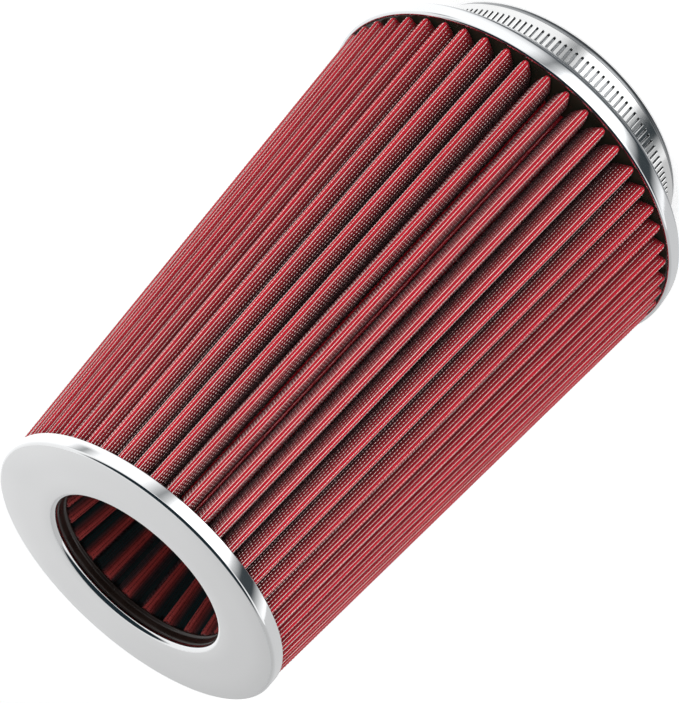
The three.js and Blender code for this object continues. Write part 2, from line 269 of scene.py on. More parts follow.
def satin_chrome():
    """The cap: its flat face is satin, its skirt and the rolled edges are polished."""
    n = Nodes("satin_chrome", Metallic=1.0, Roughness=0.3)
    normal = n.add("ShaderNodeNewGeometry").outputs["Normal"]
    upward = n.add("ShaderNodeSeparateXYZ", {"Vector": normal}).outputs["Z"]
    flat = n.remap(upward, 0, 1, (0.94, 0.995))
    grain = n.noise(900, 2)
    cloud = n.noise(35, 3)
    tone = n.mix(cloud, rgb(0.80, 0.805, 0.81), rgb(0.86, 0.865, 0.87))
    n.link(n.mix(flat, rgb(0.90, 0.91, 0.92), tone), "Base Color")
    satin = n.remap(cloud, 0.30, 0.38)
    polished = n.remap(cloud, 0.05, 0.10)
    n.link(n.add("ShaderNodeMix", {0: flat, 2: polished, 3: satin}).outputs[0], "Roughness")
    n.link(n.bump(grain, 0.03, 0.02), "Normal")
    return n.material


def strip_steel():
    """Polished stainless strip of the clamp, with rolling marks round the loop."""
    n = Nodes("strip_steel", Metallic=1.0, Roughness=0.15)
    stretched = n.add("ShaderNodeMapping", {"Vector": n.place(), "Scale": (0.15, 0.15, 9)})
    rolling = n.noise(260, 3, stretched.outputs[0])
    cloud = n.noise(90, 3)
    n.link(n.mix(rolling, rgb(0.86, 0.86, 0.85), rgb(0.76, 0.77, 0.78)), "Base Color")
    n.link(n.remap(cloud, 0.10, 0.22), "Roughness")
    n.link(n.bump(rolling, 0.08, 0.03), "Normal")
    return n.material


def sleeve_steel():
    # painted shade: the steel is darker than bare steel, so that it reads shaded through the
    # clamp's slots
    n = Nodes("sleeve_steel", Metallic=1.0, Roughness=0.3)
    stretched = n.add("ShaderNodeMapping", {"Vector": n.place(), "Scale": (0.1, 0.1, 12)})
    turning = n.noise(220, 4, stretched.outputs[0])
    n.link(n.mix(turning, rgb(0.40, 0.41, 0.42), rgb(0.26, 0.27, 0.28)), "Base Color")
    n.link(n.remap(turning, 0.20, 0.34), "Roughness")
    n.link(n.bump(turning, 0.12, 0.04), "Normal")
    return n.material


def tinned_sheet():
    n = Nodes("tinned_sheet", Metallic=1.0, Roughness=0.35)
    spangle = n.add("ShaderNodeTexVoronoi", {"Vector": n.place(), "Scale": 260.0}).outputs["Color"]
    grey = n.add("ShaderNodeSeparateColor", {"Color": spangle}).outputs[0]
    n.link(n.mix(grey, rgb(0.46, 0.47, 0.48), rgb(0.60, 0.61, 0.62)), "Base Color")
    n.link(n.remap(grey, 0.28, 0.45, (0, 1)), "Roughness")
    return n.material


def zinc_plate():
    n = Nodes("zinc_plate", Metallic=1.0, Roughness=0.25)
    bloom = n.noise(420, 4)
    n.link(n.mix(bloom, rgb(0.70, 0.71, 0.73), rgb(0.55, 0.56, 0.60)), "Base Color")
    n.link(n.remap(bloom, 0.18, 0.36), "Roughness")
    n.link(n.bump(bloom, 0.1, 0.03), "Normal")
    return n.material


def cast_resin(name, dark, light):
    """Dark cast polyurethane: glossy skin with slow ripples and a few pits."""
    n = Nodes(name, Roughness=0.28, Specular_IOR_Level=0.6)
    ripple = n.noise(110, 3)
    pits = n.noise(900, 1)
    n.link(n.mix(ripple, dark, light), "Base Color")
    n.link(n.remap(ripple, 0.20, 0.42), "Roughness")
    height = n.math("ADD", ripple, n.math("MULTIPLY", pits, 0.15))
    n.link(n.bump(height, 0.35, 0.4), "Normal")
    return n.material


def black_rubber():
    n = Nodes("black_rubber", Roughness=0.6, Specular_IOR_Level=0.4)
    skin = n.noise(1400, 2)
    bloom = n.noise(70, 4)
    n.link(n.mix(bloom, rgb(0.010, 0.010, 0.011), rgb(0.028, 0.028, 0.030)), "Base Color")
    n.link(n.remap(bloom, 0.5, 0.7), "Roughness")
    n.link(n.bump(skin, 0.2, 0.05), "Normal")
    return n.material


def weave_lines(n):
    """0 to 1 ridges across and along the weave map, whose unit is one wire cell."""
    uv = n.add("ShaderNodeUVMap", uv_map="weave").outputs["UV"]
    parts = n.add("ShaderNodeSeparateXYZ", {"Vector": uv})
    lines = []
    for axis in ("X", "Y"):
        phase = n.math("MULTIPLY", parts.outputs[axis], 2 * math.pi)
        lines.append(n.remap(n.math("COSINE", phase), 0, 1, (-1, 1)))
    return lines


def oiled_cotton(name, light, dark, painted_shade_flank, floor, reach):
    """Oiled red gauze: fine threads and slubs, with painted light and shade laid on by place.

    The cloth is darker by the wires and lighter in each cell's middle (painted shade and
    highlight). It takes the painted-shade flank colour by the depth `reach`, counted from 0 at
    a fold's tip to 1 at its floor, and turns to the floor colour at the floor (painted light on
    the outer pack, painted shade in the cone).
    """
    n = Nodes(name, Roughness=0.75, Specular_IOR_Level=0.35, Sheen_Weight=0.15,
              Sheen_Roughness=0.4)
    n.shader.inputs["Sheen Tint"].default_value = rgb(1.0, 0.45, 0.5)
    across, along = weave_lines(n)
    pillow = n.math("SUBTRACT", 1.0, n.math("MAXIMUM", across, along))
    slub = n.noise(700, 4)
    blotch = n.noise(45, 3)
    depth = n.add("ShaderNodeAttribute", attribute_name="fold_depth").outputs["Fac"]
    # painted shade and highlight: the cloth is darker by the wires and lighter in each cell's
    # middle, varied at random by blotches
    oil = n.math("MULTIPLY", n.remap(pillow, 0.2, 1.0, (0.0, 0.6)), n.remap(blotch, 1.0, 0.7))
    cloth = n.mix(oil, dark, light)
    # painted shade: the cloth darkens towards the flank colour with the depth of the fold
    cloth = n.mix(n.remap(depth, 0, 1, (0.0, reach)), cloth, painted_shade_flank)
    # painted light and shade: near a fold's floor the cloth turns to the floor colour
    n.link(n.mix(n.remap(depth, 0, 1, (0.84, 0.97)), cloth, floor), "Base Color")
    height = n.math("ADD", pillow, n.math("MULTIPLY", slub, 0.8))
    n.link(n.bump(height, 0.6, 0.25), "Normal")
    n.link(n.remap(slub, 0.62, 0.9), "Roughness")
    return n.material


def screen_wire(name, red, green, blue, roughness):
    """Screen wire, bare or oil-reddened, or a darker copy of it that is painted shade (the weft
    and the cone's wire). It is dense and thin, so its values are plain.
    """
    n = Nodes(name, Metallic=0.95, Roughness=roughness)
    n.shader.inputs["Base Color"].default_value = rgb(red, green, blue)
    return n.material


def screen_sheet():
    """Clean side of a pack: wire cells over red cotton."""
    n = Nodes("screen_sheet", Metallic=0.0, Roughness=0.4)
    across, along = weave_lines(n)
    wire = n.remap(n.math("MAXIMUM", across, along), 0, 1, (0.86, 0.93))
    oil = n.noise(300, 3)
    cloth = n.mix(oil, rgb(0.30, 0.005, 0.015), rgb(0.48, 0.012, 0.03))
    n.link(n.mix(wire, cloth, rgb(0.72, 0.62, 0.62)), "Base Color")
    n.link(wire, "Metallic")
    n.link(n.bump(wire, 0.8, 0.25), "Normal")
    return n.material


# ---- Pleated packs ---------------------------------------------------------------------
def fold_curve(pack, depth, samples):
    """One pleat from valley to valley, evenly stepped: angle from its fold, and radius.

    Depth is how far the surface lies behind the side that the dust lands on.
    """
    outward = 1 if pack["tip"] > pack["root"] else -1
    tip = pack["tip"] - outward * depth
    root = pack["root"] - outward * depth
    tip_half = pack["tip_half"] - depth
    root_half = pack["root_half"] + depth
    half_pitch = math.pi / pack["pleats"]
    half = []
    for a in np.radians(np.linspace(0, 90, 10)):
        radius = tip - outward * tip_half * (1 - math.cos(a))
        half.append((tip_half * math.sin(a) / radius, radius))
    half.append(((pack["shoulder_half"] - depth) / pack["shoulder"], pack["shoulder"]))
    for a in np.radians(np.linspace(90, 0, 10)):
        radius = root + outward * root_half * (1 - math.cos(a))
        half.append((half_pitch - root_half * math.sin(a) / radius, radius))
    half = np.array(half)
    full = np.concatenate([half[::-1] * (-1, 1), half[1:]])
    flat = np.stack([full[:, 1] * np.sin(full[:, 0]), full[:, 1] * np.cos(full[:, 0])], -1)
    length = np.concatenate([[0], np.cumsum(np.linalg.norm(np.diff(flat, axis=0), axis=1))])
    even = np.linspace(0, length[-1], samples)
    return np.stack([np.interp(even, length, full[:, k]) for k in (0, 1)], -1)


FINGER_LENGTH = 2.0  # rounded ends of the outer pleats where they enter the base resin
FINGER_DROP = 0.9
FINGER_ROWS = (0.0, 0.04, 0.12, 0.25, 0.45, 0.7)  # shares of that length, close at the end
WARP = 0.12  # radius of the wires along the pleats
WEFT = 0.09  # and of those across them
WIRE_SWING = 0.45 * (WARP + WEFT)  # how far a wire goes up and down as it crosses others
WARP_PROUD = 0.05  # how much higher the wires along the pleats lie
WIRE_FLAT = 0.4  # how far behind a wire's middle its flat side lies, as a share of its radius
WIRE_DEPTH = 0.14  # depth of the middle of the screen
CLOTH_DEPTHS = (0.07, 1.1)  # of the cotton, which fills the cells between the wires
SHEET_DEPTHS = (1.2, 1.4)  # of the sheet that stands for the screen behind the cotton
PLEATS_PER_PIECE = 4  # of the outer screen, whose wires are too many for one mesh


def pack_scale(pack, z):
    return 1 + (pack["end_scale"] - 1) * (z - pack["from"]) / (pack["to"] - pack["from"])


def fold_share(pack, radius):
    """0 at a pleat's root and 1 at its tip."""
    return np.clip((radius - pack["root"]) / (pack["tip"] - pack["root"]), 0, 1)


def pack_surface(pack, curve, z, pleats):
    """Points (pleats, heights, samples, 3) of a folded surface, its tips a little uneven."""
    angle, radius = curve[:, 0], curve[:, 1]
    angle = np.broadcast_to(angle, (len(z), len(angle))).copy()
    radius = np.broadcast_to(radius, angle.shape).copy()
    share = fold_share(pack, radius)
    if pack is OUTER_PACK:
        into = np.clip((pack["from"] + FINGER_LENGTH - z) / FINGER_LENGTH, 0, 1)[:, None]
        radius -= FINGER_DROP * share * (1 - np.sqrt(1 - into**2))
        angle *= 1 - 0.5 * share * (1 - np.sqrt(1 - 0.9 * into**2))
    radius *= pack_scale(pack, z)[:, None]
    height = ((z - pack["from"]) / (pack["to"] - pack["from"]))[:, None]
    turn = pack["turn"] + pack["twist"] * (height - 0.5)
    pleats = np.asarray(pleats)
    lean = np.random.default_rng(5).uniform(-1, 1, (3, pack["pleats"], 1, 1))[:, pleats]
    bow = lean[0] + lean[1] * (height - 0.5) + 0.6 * lean[2] * np.sin(2 * math.pi * height)
    turn = turn + pack["unevenness"] * bow * share
    around = 2 * math.pi * pleats[:, None, None] / pack["pleats"] + angle + np.radians(turn)
    return np.stack([
        radius * np.cos(around), radius * np.sin(around),
        np.broadcast_to(z[:, None], around.shape),
    ], -1)


def pack_layer(name, pack, depths, samples, rows, material, replaces):
    """A closed folded layer between two depths, with a weave map counted in wire cells."""
    low, high = sorted((pack["from"], pack["to"]))
    finger = low + FINGER_LENGTH * np.array(FINGER_ROWS)
    z = np.concatenate([finger, np.linspace(low + FINGER_LENGTH, high, rows)])
    faces = []
    for depth in depths:
        curve = fold_curve(pack, depth, samples + 1)
        pleats = pack_surface(pack, curve[:-1], z, range(pack["pleats"]))
        faces.append(pleats.transpose(1, 0, 2, 3).reshape(len(z), -1, 3))
    if pack["tip"] < pack["root"]:
        faces.reverse()
    points = np.concatenate([faces[0], faces[1][::-1]])
    u = np.arange(points.shape[1] + 1) * pack["columns"] / samples
    v = np.concatenate([z, z[::-1], z[:1]])
    v = (v - low - WARP) / (high - low - 2 * WARP) * (pack["rows"] - 1)
    uv = np.stack(np.broadcast_arrays(u[None, :], v[:, None]), -1)
    grid, quads, corners = ring_grid(points, uv)
    mesh = mesh_from_arrays(name, grid, quads, corners)
    radius = np.hypot(grid[:, 0], grid[:, 1]) / pack_scale(pack, grid[:, 2])
    depth = mesh.attributes.new("fold_depth", "FLOAT", "POINT")
    depth.data.foreach_set("value", (1 - fold_share(pack, radius)).astype(np.float32))
    return add_piece(mesh, name, "filter", material, replaces)


def unit(vectors):
    return vectors / np.linalg.norm(vectors, axis=-1, keepdims=True)


def wire_quads(count, length):
    """Quads over `count` wires of `length` sections with three points each."""
    wire, section, side = np.meshgrid(
        np.arange(count), np.arange(length - 1), np.arange(2), indexing="ij")
    first = (wire * length + section) * 3 + side
    return np.stack([first, first + 1, first + 4, first + 3], -1).reshape(-1, 4)


def woven_screen(name, pack, pleats, warp_metal, shaded_weft_metal, replaces):
    """Plain-woven wire over whole folds, as interlaced half-round wires.

    Wires along the pleat pass over and under those across it, one cell at a time, and
    stand a little prouder of the cotton.
    """
    curve = fold_curve(pack, WIRE_DEPTH, pack["columns"] + 1)
    low, high = sorted((pack["from"], pack["to"]))
    z = np.linspace(low + WARP, high - WARP, pack["rows"])
    centre = pack_surface(pack, curve[:-1], z, pleats)
    centre = centre.transpose(1, 0, 2, 3).reshape(len(z), -1, 3)
    across = unit(np.gradient(centre, axis=1))
    along = unit(np.gradient(centre, axis=0))
    normal = np.cross(across, along)
    if pack["tip"] < pack["root"]:
        normal = -normal
    over = np.indices(centre.shape[:2]).sum(0)[..., None] % 2 * 2 - 1
    lift = normal * over * WIRE_SWING
    proud = normal * WARP_PROUD
    warp = [grid.transpose(1, 0, 2) for grid in (centre + lift + proud, across, normal)]
    weft = [centre - lift - proud, along, normal]
    inward = pack["tip"] < pack["root"]
    for kind, wire, metal, flip, (middle, side, out) in (
            ("warp", WARP, warp_metal, inward, warp),
            ("weft", WEFT, shaded_weft_metal, not inward, weft)):
        section = np.stack([
            middle - side * wire - out * wire * WIRE_FLAT,
            middle + out * wire,
            middle + side * wire - out * wire * WIRE_FLAT,
        ], 2)
        faces = wire_quads(*section.shape[:2])
        if flip:
            faces = faces[:, ::-1]
        mesh = mesh_from_arrays(f"{name}_{kind}", section.reshape(-1, 3), faces)
        add_piece(mesh, mesh.name, "filter", metal, replaces)


def build_packs(cotton, warp, weft, sheet, shaded_cone_cotton, shaded_cone_wire):
    pack_layer("outer_media_folds", OUTER_PACK, CLOTH_DEPTHS, samples=28, rows=27,
               material=cotton, replaces=["outer_media"])
    pack_layer("inner_screen_folds", OUTER_PACK, SHEET_DEPTHS, samples=16, rows=24,
               material=sheet, replaces=["inner_screen"])
    pack_layer("cone_media_folds", CONE_PACK, CLOTH_DEPTHS, samples=28, rows=40,
               material=shaded_cone_cotton, replaces=["cone_media"])
    pack_layer("cone_back_screen_folds", CONE_PACK, SHEET_DEPTHS, samples=20, rows=16,
               material=sheet, replaces=["cone_back_screen"])
    for i in range(OUTER_PACK["pleats"] // PLEATS_PER_PIECE):
        pleats = range(i * PLEATS_PER_PIECE, (i + 1) * PLEATS_PER_PIECE)
        woven_screen(f"outer_screen_{i + 1}", OUTER_PACK, pleats, warp, weft, ["outer_screen"])
    woven_screen("cone_screen", CONE_PACK, range(CONE_PACK["pleats"]), shaded_cone_wire, shaded_cone_wire,
                 ["cone_front_screen"])


# ---- Cap, base and neck ----------------------------------------------------------------
def build_cap(chrome, resin):
    corner, curl = 1.1, 1.7
    turned("top_cap_shell", sheet_outline([
        (CAP_RADIUS, CAP_EDGE + 0.3),
        *arc(CAP_RADIUS - corner, CAP_TOP - corner, corner, 0, 90, 8),
        (50, CAP_TOP), (42, CAP_TOP),
        *arc(HOLE_RADIUS + curl, CAP_TOP - curl, curl, 90, 205, 12),
    ], SHEET), "filter", chrome, ["top_cap"])
    outer, top = CAP_RADIUS - SHEET - GAP, CAP_TOP - SHEET - GAP
    lip = HOLE_RADIUS - 0.2
    turned("top_potting_ring", [
        *arc(lip + 0.3, LIP_EDGE + 0.5, 0.5, 120, 270, 7), (44, LIP_EDGE),
        (44.5, CAP_EDGE), (outer, CAP_EDGE), (outer, top), (HOLE_RADIUS + 2.6, top),
        (HOLE_RADIUS + 2.4, CAP_TOP - 2.6), (lip + 0.5, CAP_TOP - 2.5),
        (lip + 0.15, CAP_TOP - 2.9), (lip + 0.2, CAP_TOP - 4.0), (lip + 0.45, CAP_TOP - 5.0),
        (lip + 0.5, CAP_TOP - 5.7),
    ], "filter", resin, ["top_potting"])


def base_path():
    """Outer face of the base shell, from the neck hole round the shoulder to the rim."""
    return [
        (SLEEVE_RADIUS + GAP, BASE_FLOOR), (60, BASE_FLOOR),
        *arc(64.2, BASE_FLOOR + 5.0, 5.0, -90, -42, 6),
        (69.2, 22.1), (70.4, 23.5),
        *arc(73.4, 22.9, 2.9, 143, 97, 4),
        *arc(73.2, 28.4, 2.5, -68, -8, 6),
        (75.9, 30.4), (BASE_RADIUS, 32.0),
    ]


def build_base(chrome, resin):
    turned("base_shell_sheet", sheet_outline(
        base_path() + arc(BASE_RADIUS - 1.0, BASE_RIM - 1.0, 1.0, 0, 115, 8), SHEET),
        "filter", chrome, ["base_shell"])
    inner, seat = LINER_RADIUS - 2.4, POTTING_FOOT
    turned("base_potting_ring", [
        (inner, seat), (65.0, seat), (67.6, 24.1), (70.0, 27.0), (72.3, 28.5), (73.8, 30.3),
        (BASE_RADIUS - 1.3, 31.8), (BASE_RADIUS - 1.9, 32.6), (73, 32.8), (66, 33.3),
        *arc(inner + 1.5, BASE_RIM - 1.5, 1.5, 90, 180, 4),
    ], "filter", resin, ["base_potting"])


def build_neck(steel, rubber):
    lip = 3.0
    flare = BASE_FLOOR + SHEET + GAP
    turned("neck_sleeve_tube", sheet_outline([
        *arc(SLEEVE_RADIUS - lip, lip + GAP, lip, -60, 0, 10),
        (SLEEVE_RADIUS, 6), (SLEEVE_RADIUS, 14), (SLEEVE_RADIUS, flare - 0.6),
        (SLEEVE_RADIUS + 0.6, flare), (SLEEVE_RADIUS + 5, flare),
    ], SLEEVE_WALL), "filter", steel, ["neck_sleeve"])
    ribs = []
    for i in range(4):
        z = LINER_TOP - 3.5 - 4 * i
        ribs += [(BORE_RADIUS + 0.5, z + 1.2), (BORE_RADIUS, z + 0.4), (BORE_RADIUS, z - 0.4),
                 (BORE_RADIUS + 0.5, z - 1.2)]
    turned("neck_liner_bush", [
        (BORE_RADIUS + 1.2, 0), (LINER_RADIUS - 1.7, 0), (LINER_RADIUS - 1.4, 0.3),
        (LINER_RADIUS - 1.0, 1.5), *arc(LINER_RADIUS - 1.5, 3.3, 1.5, -50, 0, 5),
        (LINER_RADIUS, LINER_TOP), (BORE_RADIUS + 0.5, LINER_TOP), *ribs,
        (BORE_RADIUS + 0.5, 1.0),
    ], "filter", rubber, ["neck_liner"])


def build_tip(tin, resin):
    turned("cone_tip_cup_shell", sheet_outline([
        (0.3, TIP_CUP_FOOT + 0.6), (9, TIP_CUP_FOOT + 0.6), (10, TIP_CUP_FOOT),
        (TIP_CUP_RADIUS - 4, TIP_CUP_FOOT),
        *arc(TIP_CUP_RADIUS - 2, TIP_CUP_FOOT + 2, 2, -90, 0, 6),
        (TIP_CUP_RADIUS, TIP_CUP_TOP - 0.3),
    ], SHEET), "filter", tin, ["cone_tip_cup"], segments=128)
    low, high = (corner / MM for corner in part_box("cone_tip_potting"))
    turned("cone_tip_resin", [
        (0.3, low.z), (high.x - 1.5, low.z), (high.x, low.z + 1.5), (high.x, high.z),
        (high.x - 3, high.z - 0.2), (0.3, high.z),
    ], "filter", resin, ["cone_tip_potting"], segments=96)


# ---- Clamp -----------------------------------------------------------------------------
SLOT_HALF_LENGTH = 3.15
SLOT_HALF_WIDTH = 0.46
SLOT_ROUNDING = 0.14  # of the rim round each slot
STRIP_SIDE = 0.25  # width of the rolled edge along both sides of the strip
STRIP_CHAMFER = 0.18


def slotted_strip(name, inner, start, cells, ends, body, material, replaces):
    """A bent strip of cells with a round-ended slot in each. Its start, round the neck, and
    the lengths of its plain ends are in degrees."""
    half_width = (BAND_TOP - BAND_FOOT) / 2
    # A cell is drawn from its middle: w is half the slot's width, s half the length of its
    # straight sides, h half the width of the strip's flat part, and c half the cell's length.
    w, s = SLOT_HALF_WIDTH, SLOT_HALF_LENGTH - SLOT_HALF_WIDTH
    h = half_width - STRIP_SIDE
    c = math.radians(SLOT_PITCH) * inner / 2
    diagonal = w * math.sqrt(0.5)
    hole = [(w, -s), (w, 0), (w, s), (diagonal, s + diagonal), (0, s + w),
            (-diagonal, s + diagonal), (-w, s), (-w, 0), (-w, -s),
            (-diagonal, -s - diagonal), (0, -s - w), (diagonal, -s - diagonal)]
    edge = [(c, -s), (c, 0), (c, s), (c, h), (0, h), (-c, h),
            (-c, s), (-c, 0), (-c, -s), (-c, -h), (0, -h), (c, -h)]
    rim = []
    for x, z in hole:
        way = Vector((x, z - max(-s, min(s, z)))).normalized() * SLOT_ROUNDING
        rim.append((x + way.x, z + way.y))
    mesh = bmesh.new()
    seen = {}

    def point(x, z, radius):
        angle = start + x / inner
        key = (round(angle * inner, 3), round(z, 3), round(radius, 3))
        if key not in seen:
            seen[key] = mesh.verts.new(Vector((
                radius * math.cos(angle), radius * math.sin(angle), BAND_MIDDLE + z)) * MM)
        return seen[key]

    def face(*corners):
        mesh.faces.new([point(*corner) for corner in corners])

    start = math.radians(start)
    outer = inner + BAND_THICKNESS
    wall = outer - SLOT_ROUNDING
    for cell in range(cells):
        shift = (2 * cell + 1) * c
        for i in range(len(hole)):
            corners = (outline[k % len(hole)] for outline in (hole, edge, rim)
                       for k in (i, i + 1))
            (ax, az), (bx, bz), (cx, cz), (dx, dz), (ex, ez), (fx, fz) = (
                (x + shift, z) for x, z in corners)
            face((ex, ez, outer), (cx, cz, outer), (dx, dz, outer), (fx, fz, outer))
            face((fx, fz, outer), (bx, bz, wall), (ax, az, wall), (ex, ez, outer))
            face((bx, bz, wall), (bx, bz, inner), (ax, az, inner), (ax, az, wall))
            face((bx, bz, inner), (dx, dz, inner), (cx, cz, inner), (ax, az, inner))
    # Plain ends, then the rolled edges along both sides of the whole strip.
    levels = [-h, -s, 0, s, h]
    columns = [k * c for k in range(2 * cells + 1)]
    for sign, reach in ((-1, ends[0]), (1, ends[1])):
        at = columns[0] if sign < 0 else columns[-1]
        plain = [at + sign * math.radians(reach) * inner * k / 3 for k in range(4)]
        for a, b in zip(plain, plain[1:]):
            left, right = (b, a) if sign < 0 else (a, b)
            for low, high in zip(levels, levels[1:]):
                face((left, low, outer), (right, low, outer), (right, high, outer),
                     (left, high, outer))
                face((left, high, inner), (right, high, inner), (right, low, inner),
                     (left, low, inner))
        tip = plain[-1]
        for low, high in zip(levels, levels[1:]):
            corners = ((tip, low, outer), (tip, low, inner), (tip, high, inner),
                       (tip, high, outer))
            face(*(corners if sign > 0 else corners[::-1]))
        columns = plain[:0:-1] + columns if sign < 0 else columns + plain[1:]
    middle_out, middle_in = outer - STRIP_CHAMFER, inner + STRIP_CHAMFER
    for a, b in zip(columns, columns[1:]):
        for sign in (1, -1):
            rows = [(h, outer), (half_width, middle_out), (half_width, middle_in), (h, inner)]
            for (z0, r0), (z1, r1) in zip(rows, rows[1:]):
                corners = ((a, sign * z0, r0), (b, sign * z0, r0), (b, sign * z1, r1),
                           (a, sign * z1, r1))
                face(*(corners if sign > 0 else corners[::-1]))
    for x, flip in ((columns[0], False), (columns[-1], True)):
        for sign in (1, -1):
            corners = ((x, sign * h, outer), (x, sign * half_width, middle_out),
                       (x, sign * half_width, middle_in), (x, sign * h, inner))
            face(*(corners if flip == (sign > 0) else corners[::-1]))
    bmesh.ops.recalc_face_normals(mesh, faces=mesh.faces)
    data = bpy.data.meshes.new(name)
    mesh.to_mesh(data)
    mesh.free()
    piece = add_piece(data, name, body, material, replaces)
    data.shade_smooth()
    data.set_sharp_from_angle(angle=math.radians(35))
    return piece


def extruded(name, outline, length, body, material, replaces, bevel):
    """A closed [across, out] outline run along X, centred on the clamp's housing."""
    mesh = bmesh.new()
    rings = []
    for x in (-length / 2, length / 2):
        rings.append([mesh.verts.new(Vector((x, out, BAND_MIDDLE + across)) * MM)
                      for across, out in outline])
    count = len(outline)
    for i in range(count):
        j = (i + 1) % count
        mesh.faces.new((rings[0][i], rings[0][j], rings[1][j], rings[1][i]))
    mesh.faces.new(rings[0][::-1])
    mesh.faces.new(rings[1])
    bmesh.ops.recalc_face_normals(mesh, faces=mesh.faces)
    data = bpy.data.meshes.new(name)
    mesh.to_mesh(data)
    mesh.free()
    piece = add_piece(data, name, body, material, replaces)
    rounding = piece.modifiers.new("edges", "BEVEL")
    rounding.width = bevel * MM
    rounding.segments = 2
    rounding.angle_limit = math.radians(40)
    data.shade_smooth()
    data.set_sharp_from_angle(angle=math.radians(50))
    return piece


def build_housing(steel):
    screw_y = (SCREW_LOW.y + SCREW_HIGH.y) / 2
    tunnel = 4.6
    wall = 0.7
    foot = HOUSING_HIGH.z - BAND_MIDDLE
    roof = HOUSING_LOW.y + 2.8
    floor = HOUSING_LOW.y + 0.05
    outer = [(foot, floor), (foot, roof), (tunnel + wall, roof),
             *arc(0, screw_y, tunnel + wall, 0, 180, 24),
             (-tunnel - wall, roof), (-foot, roof), (-foot, floor)]
    inner = [(-foot + wall, floor), (-foot + wall, roof - wall), (-tunnel, roof - wall),
             *arc(0, screw_y, tunnel, 180, 0, 24),
             (tunnel, roof - wall), (foot - wall, roof - wall), (foot - wall, floor)]
    length = HOUSING_HIGH.x - HOUSING_LOW.x
    extruded("clamp_housing_cover", outer + inner, length - 0.2, "clamp", steel,
             ["clamp_housing"], 0.22)


def worm_points(radius, root, pitch, turns, around=36):
    """Rings of a round bar whose surface carries one helical ridge."""
    rows = []
    along = np.linspace(0, pitch * turns, int(turns * 14) + 1)
    for x in along:
        ring = []
        for k in range(around):
            angle = 2 * math.pi * k / around
            phase = (x / pitch - k / around) % 1
            ridge = np.clip(1.6 - 4.2 * abs(phase - 0.5), 0, 1)
            fade = min(1, x / pitch * 2, (along[-1] - x) / pitch * 2)
            r = root + (radius - root) * ridge * fade
            ring.append((x, r * math.cos(angle), r * math.sin(angle)))
        rows.append(ring)
    return rows


def build_screw(zinc):
    """Worm, neck, flange and a slotted hexagon head, along X."""
    centre_y = (SCREW_LOW.y + SCREW_HIGH.y) / 2
    worm_radius, root_radius, pitch = 4.15, 3.3, 2.5
    worm_start, worm_turns = SCREW_LOW.x + 1.5, 6
    around = 36
    rings = worm_points(worm_radius, root_radius, pitch, worm_turns, around)
    worm_end = worm_start + pitch * worm_turns

    def circle(x, radius):
        return [(x, radius * math.cos(2 * math.pi * k / around),
                 radius * math.sin(2 * math.pi * k / around)) for k in range(around)]

    flange = HOUSING_HIGH.x + GAP
    head, head_end = flange + 1.0, SCREW_HIGH.x
    rows = [circle(SCREW_LOW.x, 0.01), circle(SCREW_LOW.x, 2.0), circle(worm_start - 0.4, 3.0)]
    rows += [[(x + worm_start, y, z) for x, y, z in ring] for ring in rings]
    rows += [circle(worm_end + 0.1, 2.9), circle(flange, 2.9), circle(flange, 4.5),
             circle(flange + 0.15, 4.75), circle(head - 0.15, 4.75), circle(head, 4.5)]
    hexagon = 4.0  # half the distance across the flats

    def hex_ring(x, inset):
        ring = []
        for k in range(around):
            angle = 2 * math.pi * k / around
            within = (angle + math.pi / 6) % (math.pi / 3) - math.pi / 6
            radius = min(hexagon / math.cos(within), hexagon * 1.115) - inset
            ring.append((x, radius * math.cos(angle), radius * math.sin(angle)))
        return ring

    rows += [hex_ring(head, 0), hex_ring(head_end - 0.5, 0), hex_ring(head_end - 0.12, 0.35),
             hex_ring(head_end, 0.75), circle(head_end, 0.01)]
    mesh = bmesh.new()
    verts = [[mesh.verts.new(Vector((x, y + centre_y, z + BAND_MIDDLE)) * MM)
              for x, y, z in row] for row in rows]
    for low, high in zip(verts, verts[1:]):
        for k in range(around):
            j = (k + 1) % around
            mesh.faces.new((low[k], low[j], high[j], high[k]))
    mesh.faces.new(verts[0][::-1])
    mesh.faces.new(verts[-1])
    bmesh.ops.recalc_face_normals(mesh, faces=mesh.faces)
    data = bpy.data.meshes.new("clamp_screw_worm")
    mesh.to_mesh(data)
    mesh.free()
    screw = add_piece(data, "clamp_screw_worm", "screw", zinc, ["clamp_screw"])
    cut_driver_slot(screw, head_end, centre_y)
    data = screw.data
    data.shade_smooth()
    data.set_sharp_from_angle(angle=math.radians(35))


def cut_driver_slot(screw, head_end, centre_y):
    slot = bpy.data.meshes.new("driver_slot")
    tool = bmesh.new()
    bmesh.ops.create_cube(tool, size=1, matrix=Matrix.LocRotScale(
        Vector((head_end, centre_y, BAND_MIDDLE)) * MM, None, Vector((4.4, 1.3, 12)) * MM))
    tool.to_mesh(slot)
    tool.free()
    cutter = bpy.data.objects.new("driver_slot", slot)
    bpy.context.scene.collection.objects.link(cutter)
    cut = screw.modifiers.new("slot", "BOOLEAN")
    cut.object = cutter
    cut.operation = "DIFFERENCE"
    cut.solver = "EXACT"
    bpy.context.view_layer.update()
    graph = bpy.context.evaluated_depsgraph_get()
    result = bpy.data.meshes.new_from_object(screw.evaluated_get(graph), depsgraph=graph)
    screw.modifiers.clear()
    screw.data = result
    bpy.data.objects.remove(cutter)


def build_clamp(steel, zinc):
    tail_inner = BAND_INNER + BAND_THICKNESS + GAP
    slotted_strip("clamp_band_loop", BAND_INNER, start=102.5, cells=134, ends=(2.5, 2.5),
                  body="clamp", material=steel, replaces=["clamp_band"])
    slotted_strip("clamp_tail_strip", tail_inner, start=41.0, cells=27, ends=(5.0, 3.5),
                  body="tail", material=steel, replaces=["clamp_tail"])
    build_housing(steel)
    build_screw(zinc)


